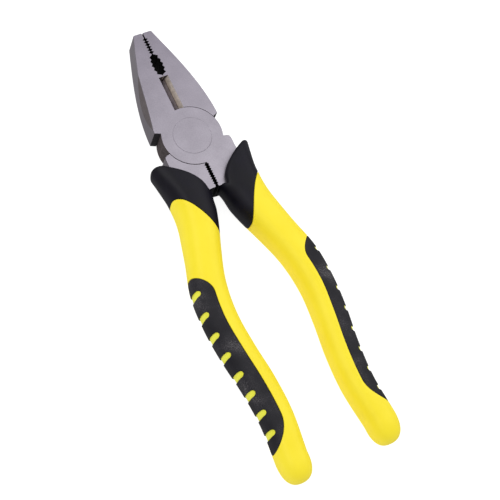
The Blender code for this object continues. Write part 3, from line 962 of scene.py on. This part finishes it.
def ground_steel(name):
    """Fine ground faces of the jaws, the joint and the neck."""
    made, tree, shader = new_material(name, roughness=0.42, metallic=1.0, specular=0.5)
    place = own_coordinates(tree)
    tree.links.new(steel_colour(tree, place, GROUND_NOSE, GROUND_NECK), shader.inputs["Base Color"])
    grain = noise(tree, stretched(tree, place, (1.0, 0.08, 0.3)), scale=7000.0, detail=2.0)
    roughen(tree, shader, grain, (0.2, 0.8), (0.38, 0.48))
    bump(tree, shader, grain, distance=0.000003)
    return made


def flank_steel(name):
    """Ground sides of the head."""
    made, tree, shader = new_material(name, roughness=0.46, metallic=1.0, specular=0.5)
    place = own_coordinates(tree)
    rough = noise(tree, place, scale=1300.0, detail=4.0, roughness=0.6)
    tree.links.new(steel_colour(tree, place, FLANK_NOSE, FLANK_NECK), shader.inputs["Base Color"])
    roughen(tree, shader, rough, (0.2, 0.8), (0.42, 0.56))
    bump(tree, shader, rough, distance=0.000008)
    return made


def lens_steel(name):
    """Duller, slightly brown skin of the jaw's facet."""
    made, tree, shader = new_material(name, roughness=0.5, metallic=1.0, specular=0.5)
    place = own_coordinates(tree)
    rough = noise(tree, place, scale=1300.0, detail=4.0, roughness=0.6)
    tree.links.new(two_tone(tree, rough, LENS_TONES), shader.inputs["Base Color"])
    roughen(tree, shader, rough, (0.2, 0.8), (0.45, 0.62))
    bump(tree, shader, rough, distance=0.000012)
    return made


def scale_steel(name, tones):
    """Dark scale on the faces that are left as forged or are blackened; given darker tones, it also serves
    as painted shade on the shoulder and in the gaps between the parts.
    """
    made, tree, shader = new_material(name, roughness=0.6, metallic=0.0, specular=0.08)
    place = own_coordinates(tree)
    spots = noise(tree, place, scale=900.0, detail=5.0, roughness=0.65)
    tree.links.new(two_tone(tree, spots, tones), shader.inputs["Base Color"])
    roughen(tree, shader, spots, (0.2, 0.8), (0.5, 0.75))
    bump(tree, shader, spots, distance=0.00002)
    return made


def cutter_steel(name):
    """Mottled cutter bevels with light and shade painted in: warm and lit near the faces, a dark painted
    shadow line, then cooler towards the edge.
    """
    made, tree, shader = new_material(name, roughness=0.45, metallic=0.0, specular=0.3)
    place = own_coordinates(tree)
    across = remap(tree, separate(tree, place)["Z"], (0.0, THICK), (-1.0, 1.0))
    base = ramp(tree, arithmetic(tree, "ABSOLUTE", across), CUTTER_LIGHT_AND_SHADE_STOPS)
    mottle = noise(tree, place, scale=520.0, detail=5.0, roughness=0.65)
    toned = multiplied(tree, base, ramp(tree, mottle, ((0.35, grey(0.72)), (0.62, grey(1.12)))))
    tree.links.new(toned, shader.inputs["Base Color"])
    roughen(tree, shader, mottle, (0.2, 0.8), (0.38, 0.55))
    bump(tree, shader, mottle, distance=0.00001)
    return made


def moulded_plastic(name, tones):
    """Satin moulded plastic with faint clouds and a very fine spark-eroded grain."""
    made, tree, shader = new_material(name, roughness=0.42, metallic=0.0, specular=0.22)
    place = own_coordinates(tree)
    clouds = noise(tree, place, scale=60.0, detail=3.0)
    fine = noise(tree, place, scale=4200.0, detail=2.0)
    tree.links.new(two_tone(tree, clouds, tones), shader.inputs["Base Color"])
    roughen(tree, shader, fine, (0.2, 0.8), (0.36, 0.50))
    bump(tree, shader, fine, distance=0.000008)
    return made


def guard_elastomer(name):
    """Smooth black elastomer with a low sheen."""
    made, tree, shader = new_material(name, roughness=0.48, metallic=0.0, specular=0.20)
    place = own_coordinates(tree)
    clouds = noise(tree, place, scale=150.0, detail=4.0)
    fine = noise(tree, place, scale=3000.0, detail=2.0)
    tree.links.new(two_tone(tree, clouds, GUARD_TONES), shader.inputs["Base Color"])
    roughen(tree, shader, clouds, (0.2, 0.8), (0.42, 0.56))
    bump(tree, shader, fine, distance=0.000012)
    return made


def pad_elastomer(name):
    """Matt black elastomer with grey dust in its grain."""
    made, tree, shader = new_material(name, roughness=0.62, metallic=0.0, specular=0.22)
    place = own_coordinates(tree)
    patches = noise(tree, place, scale=90.0, detail=2.0, roughness=0.45)
    fine = noise(tree, place, scale=2300.0, detail=4.0, roughness=0.65)
    both = remap(tree, arithmetic(tree, "MULTIPLY", patches, fine), (0.12, 0.42), (0.0, 1.0))
    tree.links.new(ramp(tree, both, PAD_STOPS), shader.inputs["Base Color"])
    roughen(tree, shader, fine, (0.3, 0.7), (0.52, 0.75))
    bump(tree, shader, fine, distance=0.00004)
    return made


# ---------------------------------------------------------------- assembly

def finished_mesh(source):
    """Mesh of a finished shape in the frame's coordinates, its hair-thin slivers welded away."""
    mesh = evaluated_mesh(source)
    mesh.transform(source.matrix_world)
    weld(mesh, SLIVER)
    sharpen(mesh)
    return mesh


def add_piece(name, mesh, cad_node, body):
    """Piece that stands for a node of the frame and rides on its body; the rear side's are turned over."""
    piece = bpy.data.objects.new(name, mesh)
    bpy.context.scene.collection.objects.link(piece)
    if body == "rear_side":
        piece.matrix_world = Matrix.Translation((0.0, 0.0, THICK)) @ Matrix.Rotation(math.pi, 4, "Y")
    shading = piece.modifiers.new("Even shading", "WEIGHTED_NORMAL")
    shading.keep_sharp = True
    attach(piece, body)
    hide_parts(cad_node)


def finish(mesh, materials, choose=None):
    """Gives a mesh its materials, and each face the one that choose names by its place in the list."""
    mesh.materials.clear()
    for made in materials:
        mesh.materials.append(made)
    chosen = [choose(polygon) if choose else 0 for polygon in mesh.polygons]
    mesh.polygons.foreach_set("material_index", chosen)


GROUND, FLANK, SCALE, SHOULDER, BLACKENED_AND_SHADE, CUTTER, LENS = range(7)

# Where the forging's finishes end
FACING = 0.5                # a face looks along an axis when its normal has more than this of it
FACE_DEPTH = 0.0006         # the front and the rear face, with their eased edges
POCKET_INSIDE = 0.0003      # the pocket's wall is found between these, inside and outside its radius
POCKET_OUTSIDE = 0.0004
NECK_INSIDE_X = 0.0050      # between the neck's inner and its outer side
SHOULDER_RISE = 0.0010      # from the jaw's foot to the top of the shoulder's scale and painted shade
TEETH_MARGIN = 0.0005       # from the deepest tooth to where the jaw's outer side may start
NOSE_DEPTH = 0.0002
CUTTER_MARGIN = 0.0001
LENS_FACING = (0.08, 0.35)  # how far the facet leans towards the front

RECESS_MARGIN = 0.01        # keeps the recess's wall with the handle, as a share of its outer half


def forging_finish(polygon):
    """Which steel a face of the forging shows."""
    x, y, z = polygon.center
    normal = polygon.normal
    radius = math.hypot(x, y)
    if abs(normal.z) > FACING:
        rear_face = z < FACE_DEPTH and radius > POCKET_R
        return GROUND if z > THICK - FACE_DEPTH or rear_face else SCALE
    if radius < POCKET_R + POCKET_OUTSIDE:
        # the pocket's wall, between the two halves, gets blackened steel with painted shade
        pocket_wall = z < MID_Z and radius > POCKET_R - POCKET_INSIDE
        return BLACKENED_AND_SHADE if pocket_wall else SCALE
    if y < 0:
        # the neck's inner side, in the throat between the necks, gets blackened steel with painted shade
        return FLANK if x > NECK_INSIDE_X else BLACKENED_AND_SHADE
    # the shoulder's downward faces: scale darkened with painted shade
    if y < JAW_FOOT_Y + SHOULDER_RISE and normal.y < -FACING:
        return SHOULDER
    if x < -GRIP_DEEPEST_X - TEETH_MARGIN:
        facet = LENS_FACING[0] < normal.z < LENS_FACING[1] and z < THICK - FACE_DEPTH
        return LENS if facet else FLANK
    if y > NOSE_Y - NOSE_DEPTH:
        return FLANK
    if CUTTER_LOW_Y < y < CUTTER_HIGH_Y + CUTTER_MARGIN:
        return SCALE if abs(normal.y) > FACING else CUTTER
    # teeth and pipe grip between the jaws: blackened steel with painted shade
    return BLACKENED_AND_SHADE


def grip_finish(polygon):
    """The handle's own plastic outside the pad's recess, and the ribs' inside it, greener and darker with
    painted shade from the slots they sit in.
    """
    x, y, _ = polygon.center
    _, ridge, outer, _ = smooth_stations(y)
    past_border = (x - ridge) / (outer - ridge) > pad_reach(y) + RECESS_MARGIN
    return 1 if PAD_LOW_Y < y < PAD_TOP_Y and past_border else 0


def build_pieces():
    half = forged_half()
    finish(half, [ground_steel("ground_steel"), flank_steel("flank_steel"),
                  scale_steel("scale_steel", SCALE_TONES),
                  scale_steel("shoulder_scale_and_painted_shade", SHOULDER_SHADE_TONES),
                  scale_steel("blackened_steel_and_painted_shade", BLACKENED_AND_SHADE_TONES),
                  cutter_steel("cutter_steel"), lens_steel("lens_steel")], forging_finish)
    add_piece("front_half_forging", half, "front_half", "front_side")
    add_piece("rear_half_forging", half, "rear_half", "rear_side")
    rivet = finished_mesh(turned("rivet", rivet_profile(0.0, 0.0)))
    finish(rivet, [ground_steel("rivet_steel")])
    add_piece("rivet", rivet, "joint_rivet", "front_side")
    collar, body, pad = guard(), grip_body(), palm_pad()
    finish(collar, [guard_elastomer("guard_elastomer")])
    finish(body, [moulded_plastic("yellow_grip", YELLOW_TONES),
                  moulded_plastic("yellow_rib_painted_shade", RIB_SHADE_TONES)], grip_finish)
    finish(pad, [pad_elastomer("pad_elastomer")])
    for side, where in (("right", "front_side"), ("left", "rear_side")):
        add_piece(side + "_guard_collar", collar, side + "_guard", where)
        add_piece(side + "_grip_shell", body, side + "_grip_body", where)
        add_piece(side + "_palm_grip", pad, side + "_palm_pad", where)


# ---------------------------------------------------------------- stage

def add_camera():
    place = FRONT + CAMERA_DISTANCE * Vector((math.sin(CAMERA_TILT) * math.cos(CAMERA_TURN),
                                              math.sin(CAMERA_TILT) * math.sin(CAMERA_TURN),
                                              math.cos(CAMERA_TILT)))
    away = (place - AIM).normalized()
    right = (-away).cross(Vector((0.0, 1.0, 0.0))).normalized()
    up = right.cross(-away)
    across = math.cos(CAMERA_ROLL) * right + math.sin(CAMERA_ROLL) * up
    upward = math.cos(CAMERA_ROLL) * up - math.sin(CAMERA_ROLL) * right
    data = bpy.data.cameras.new("camera")
    data.sensor_width = SENSOR
    data.lens = CAMERA_LENS
    data.shift_x = CAMERA_SHIFT
    data.clip_start = 0.01
    data.clip_end = 20.0
    camera = bpy.data.objects.new("camera", data)
    bpy.context.scene.collection.objects.link(camera)
    turn = Matrix((across, upward, away)).transposed().to_4x4()
    camera.matrix_world = Matrix.Translation(place) @ turn
    bpy.context.scene.camera = camera


def add_floor():
    """Pale floor that glows and leaves no reflection of itself in the steel."""
    mesh = bpy.data.meshes.new("floor")
    cage = bmesh.new()
    bmesh.ops.create_grid(cage, x_segments=1, y_segments=1, size=FLOOR_HALF)
    cage.to_mesh(mesh)
    cage.free()
    floor = bpy.data.objects.new("floor", mesh)
    floor.location.z = FLOOR_Z - FLOOR_DROP
    floor.visible_glossy = False
    bpy.context.scene.collection.objects.link(floor)
    made, _, shader = new_material("pale_floor", roughness=0.9, metallic=0.0, specular=0.0)
    shader.inputs["Base Color"].default_value = grey(FLOOR_SHADE)
    shader.inputs["Emission Color"].default_value = grey(1.0)
    shader.inputs["Emission Strength"].default_value = FLOOR_GLOW
    mesh.materials.append(made)


def add_light(name, azimuth, elevation, distance, size, power):
    """Square area light, its place given by its direction from the object's middle."""
    data = bpy.data.lights.new(name, "AREA")
    data.size = size
    data.energy = power
    lamp = bpy.data.objects.new(name, data)
    bpy.context.scene.collection.objects.link(lamp)
    turn, lift = math.radians(azimuth), math.radians(elevation)
    away = Vector((math.cos(turn) * math.cos(lift), math.sin(turn) * math.cos(lift), math.sin(lift)))
    lamp.location = AIM + distance * away
    lamp.rotation_euler = away.to_track_quat("Z", "Y").to_euler()


def add_world():
    """Soft white dome that dims towards and below the horizon."""
    world = bpy.data.worlds.new("studio")
    world.use_nodes = True
    tree = world.node_tree
    background = tree.nodes["Background"]
    direction = tree.nodes.new("ShaderNodeTexCoord").outputs["Generated"]
    height = remap(tree, separate(tree, direction)["Z"], (-0.6, 0.8), (0.0, 1.0))
    tree.links.new(ramp(tree, height, DOME_STOPS), background.inputs["Color"])
    background.inputs["Strength"].default_value = DOME_STRENGTH
    bpy.context.scene.world = world


helpers = []                # objects that only shape the pieces
build_pieces()
for helper in helpers:
    bpy.data.objects.remove(helper, do_unlink=True)
add_floor()
add_camera()
add_light("key", azimuth=150.0, elevation=60.0, distance=0.9, size=0.6, power=2.6)
add_light("fill", azimuth=10.0, elevation=50.0, distance=1.0, size=0.8, power=3.0)
add_world()
bpy.context.scene.view_settings.view_transform = "Standard"
